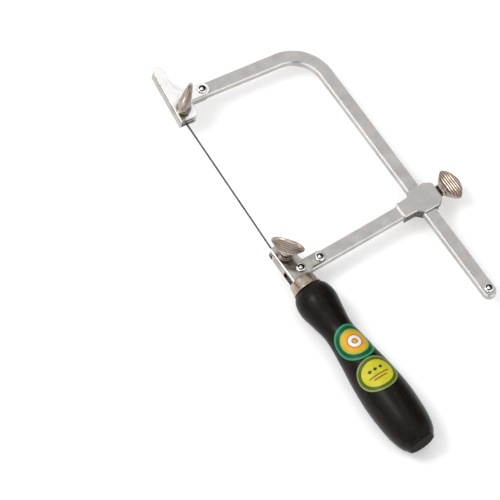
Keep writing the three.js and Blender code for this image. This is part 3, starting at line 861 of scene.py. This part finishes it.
def bar(tree, place, centre, half_size, turn=0.0):
    """One inside a slanted rectangle of the print, nought outside it."""
    moved = node(
        tree,
        "ShaderNodeMapping",
        {"Vector": place, "Location": (*centre, 0), "Rotation": (0, 0, math.radians(turn))},
        vector_type="TEXTURE",
    )
    size = node(tree, "ShaderNodeVectorMath", {0: moved.outputs["Vector"]}, operation="ABSOLUTE")
    parts = node(tree, "ShaderNodeSeparateXYZ", {"Vector": size.outputs["Vector"]})
    across = inside(tree, parts.outputs["X"], half_size[0])
    along = inside(tree, parts.outputs["Y"], half_size[1])
    return node(tree, "ShaderNodeMath", {0: across, 1: along}, operation="MULTIPLY").outputs["Value"]


def label_paper(name, rings, marks):
    """Coated paper printed with rings of colour, each from its inner radius, and marks over them."""
    ring_blur = 0.012
    material, tree, shader = new_material(name, specular_ior_level=0.2)
    place = node(tree, "ShaderNodeTexCoord").outputs["UV"]
    reach = node(tree, "ShaderNodeVectorMath", {0: place}, operation="LENGTH").outputs["Value"]
    fibres = grain(tree, 0.4, detail=4.0)
    stops = []
    for start, colour in rings:
        if stops:
            stops.append((start - ring_blur, stops[-1][1]))
        stops.append((start, colour))
    colour = ramp(tree, reach, stops)
    for mask, ink in marks(tree, place):
        colour = printed(tree, colour, mask, ink)
    fade = spread(tree, grain(tree, 5.0, detail=3.0), 0.88, 1.08)
    tree.links.new(scaled(tree, colour, fade), shader.inputs["Base Color"])
    tree.links.new(spread(tree, fibres, 0.35, 0.5), shader.inputs["Roughness"])
    bump(tree, shader, fibres, 0.01)
    return material


def round_label():
    """Rings of gold, lime and green round a plain washer."""
    teal = (0.02, 0.24, 0.12)
    green = (0.001, 0.07, 0.03)
    pale = (0.16, 0.34, 0.09)
    lime = (0.34, 0.38, 0.025)
    gold = (0.66, 0.32, 0.012)

    def marks(tree, place):
        """A plain white washer with thin rust-coloured edges."""
        white = (0.72, 0.7, 0.66)
        yield disc(tree, place, (0, 0), 0.36), RUST
        yield disc(tree, place, (0, 0), 0.32), white
        yield disc(tree, place, (0, 0), 0.15), RUST
        yield disc(tree, place, (0, 0), 0.11), gold

    rings = [(0, gold), (0.6, lime), (0.68, pale), (0.71, green), (0.9, teal)]
    look = label_paper("round_label_paper", rings, marks)
    label(
        "printed_round_label", "round_label", look, distance=41.8, angle=2, half_along=11.7, half_round=11.7
    )


def oval_label():
    """A yellow oval with an olive border and plain marks."""
    rim = (0.2, 0.27, 0.075)
    olive = (0.07, 0.1, 0.004)
    yellow = (0.5, 0.47, 0.02)

    def marks(tree, place):
        """Three squares stood on a corner, over a long stripe and a short one."""
        gap = 0.28
        for i in (-1, 0, 1):
            yield bar(tree, place, (gap * i, 0.22), (0.08, 0.08), 45), DARK_GREEN
        yield bar(tree, place, (0.0, -0.12), (0.5, 0.035)), RUST
        yield bar(tree, place, (0.0, -0.3), (0.34, 0.035)), RUST

    rings = [(0, yellow), (0.76, olive), (0.93, rim)]
    look = label_paper("oval_label_paper", rings, marks)
    label(
        "printed_oval_label", "oval_label", look, distance=64.6, angle=-4, half_along=10.5, half_round=12.5
    )


# ---- stage ----


def floor():
    """A plain pale floor under the saw, lit a little from within."""
    half = 4.0
    bm = bmesh.new()
    corners = [(-half, -half, 0), (half, -half, 0), (half, half, 0), (-half, half, 0)]
    bm.faces.new([bm.verts.new(corner) for corner in corners])
    mesh = bpy.data.meshes.new("floor")
    bm.to_mesh(mesh)
    bm.free()
    material, tree, shader = new_material("floor_paper", roughness=0.9, emission_strength=0.1)
    tone = grain(tree, 60.0, detail=2.0)
    colours = ramp(tree, tone, [(0.3, (0.95, 0.95, 0.95)), (0.7, (0.965, 0.965, 0.965))])
    tree.links.new(colours, shader.inputs["Base Color"])
    tree.links.new(colours, shader.inputs["Emission Color"])
    mesh.materials.append(material)
    made = bpy.data.objects.new("floor", mesh)
    bpy.context.scene.collection.objects.link(made)
    made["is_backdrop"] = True


def facing(tree, place, direction, inner, outer):
    """One within an angle of a direction, nought beyond a wider angle, in degrees."""
    aim = Vector(direction).normalized()
    near = node(tree, "ShaderNodeVectorMath", {0: place, 1: aim}, operation="DOT_PRODUCT")
    edges = math.cos(math.radians(outer)), math.cos(math.radians(inner))
    return spread(tree, near.outputs["Value"], 0.0, 1.0, *edges)


def studio_sky():
    """A white dome over dark walls, with three dark flags, two on the bar's side, one at the butt.

    A flag is its direction, the angles where it is whole and where it ends, and its colour.
    """
    world = bpy.data.worlds.new("studio")
    bpy.context.scene.world = world
    world.use_nodes = True
    tree = world.node_tree
    place = node(tree, "ShaderNodeTexCoord").outputs["Generated"]
    height = node(tree, "ShaderNodeSeparateXYZ", {"Vector": place}).outputs["Z"]
    stops = [
        (0.0, (0.12, 0.115, 0.11)),
        (0.12, (0.16, 0.155, 0.15)),
        (0.26, (1.1, 1.1, 1.1)),
        (1.0, (1.0, 1.0, 1.0)),
    ]
    colour = ramp(tree, height, stops)
    flags = [
        ((0.66, -0.02, 0.75), 14, 21, (0.02, 0.018, 0.016)),
        ((0.85, 0.31, 0.42), 14, 32, (0.16, 0.15, 0.14)),
        ((-0.45, -0.77, 0.45), 12, 16, (0.01, 0.01, 0.01)),
    ]
    for direction, inner, outer, dark in flags:
        colour = printed(tree, colour, facing(tree, place, direction, inner, outer), dark)
    tree.links.new(colour, tree.nodes["Background"].inputs["Color"])
    tree.nodes["Background"].inputs["Strength"].default_value = 1.1


def softbox(name, place, size, power):
    """A square area light aimed at the saw."""
    light = bpy.data.lights.new(name, "AREA")
    light.size = size
    light.energy = power
    made = bpy.data.objects.new(name, light)
    made.location = place
    made.rotation_euler = (-Vector(place)).to_track_quat("-Z", "Y").to_euler()
    bpy.context.scene.collection.objects.link(made)


def camera():
    """A long lens, looking down at the saw from between the blade's side and the handle's end."""
    azimuth = math.radians(47.4)
    elevation = math.radians(62.7)
    roll = math.radians(14.4)
    distance = 3.0
    target = ORIGIN + Vector((-13.6, 29.75, 0)) * MM
    level = math.cos(elevation)
    back = Vector((-math.sin(azimuth) * level, -math.cos(azimuth) * level, math.sin(elevation)))
    across = Vector((math.cos(azimuth), -math.sin(azimuth), 0))
    upward = back.cross(across)
    right = across * math.cos(roll) + upward * math.sin(roll)
    up = upward * math.cos(roll) - across * math.sin(roll)
    data = bpy.data.cameras.new("camera")
    data.lens = 394
    data.clip_end = 20
    made = bpy.data.objects.new("camera", data)
    turn = Matrix((right, up, back)).transposed().to_4x4()
    made.matrix_world = Matrix.Translation(target + back * distance) @ turn
    bpy.context.scene.collection.objects.link(made)
    bpy.context.scene.camera = made


# ---- build ----

bar_look = bar_looks()
plate_look = [plate_steel()]
screw_look = screw_nickel()
rivet_look = rivet_chrome()

softened("back_bar", "bent_back_bar", bar_look, "frame_bar")
softened("lower_arm", "arm_and_tang", bar_look, "handle_side")
slide_block()
# One nickel painted two ways: the upper jaw light, the lower jaw darker as painted shade from its screw's
# paddle.
bright_jaw = jaw_looks("bright_jaw", (0.82, 0.81, 0.795), (0.92, 0.91, 0.895), reach=9.0)
shaded_jaw = jaw_looks("shaded_jaw", (0.3, 0.285, 0.255), (0.54, 0.52, 0.475), reach=13.0)
softened("upper_jaw_bracket", "folded_upper_jaw", bright_jaw, "frame_bar")
softened("lower_jaw_bracket", "folded_lower_jaw", shaded_jaw, "handle_side")
softened("upper_clamp_plate", "upper_plate_ground", plate_look, "upper_plate")
softened("lower_clamp_plate", "lower_plate_ground", plate_look, "lower_plate")
softened("slide_pressure_shoe", "turned_shoe", [shoe_brass()], "slide_shoe")

rivet("stop_rivet_domed", "bar_stop_rivet", "frame_bar", rivet_look)
rivet("upper_rivet_domed", "upper_jaw_rivet", "frame_bar", rivet_look)
rivet("lower_rivet_inner_domed", "lower_jaw_rivet_inner", "handle_side", rivet_look)
rivet("lower_rivet_outer_domed", "lower_jaw_rivet_outer", "handle_side", rivet_look)

bush("upper_bush_turned", "upper_screw_bush", "frame_bar")
bush("lower_bush_turned", "lower_screw_bush", "handle_side")
standing_screw("upper_screw_turned", "upper_thumb_screw", "upper_screw_bush", "upper_screw", turn=38.2)
standing_screw("lower_screw_turned", "lower_thumb_screw", "lower_screw_bush", "lower_screw", turn=-52)
lying_screw()

blade()
handle()
ferrule()
round_label()
oval_label()

floor()
studio_sky()
softbox("key", place=(-1.0, 0.6, 1.6), size=0.7, power=15)
camera()

bpy.context.scene.view_settings.view_transform = "Standard"

boxes = {"cad": CAD_BOX, "visual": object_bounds()}
{name: [list(corner) for corner in box] for name, box in boxes.items()}
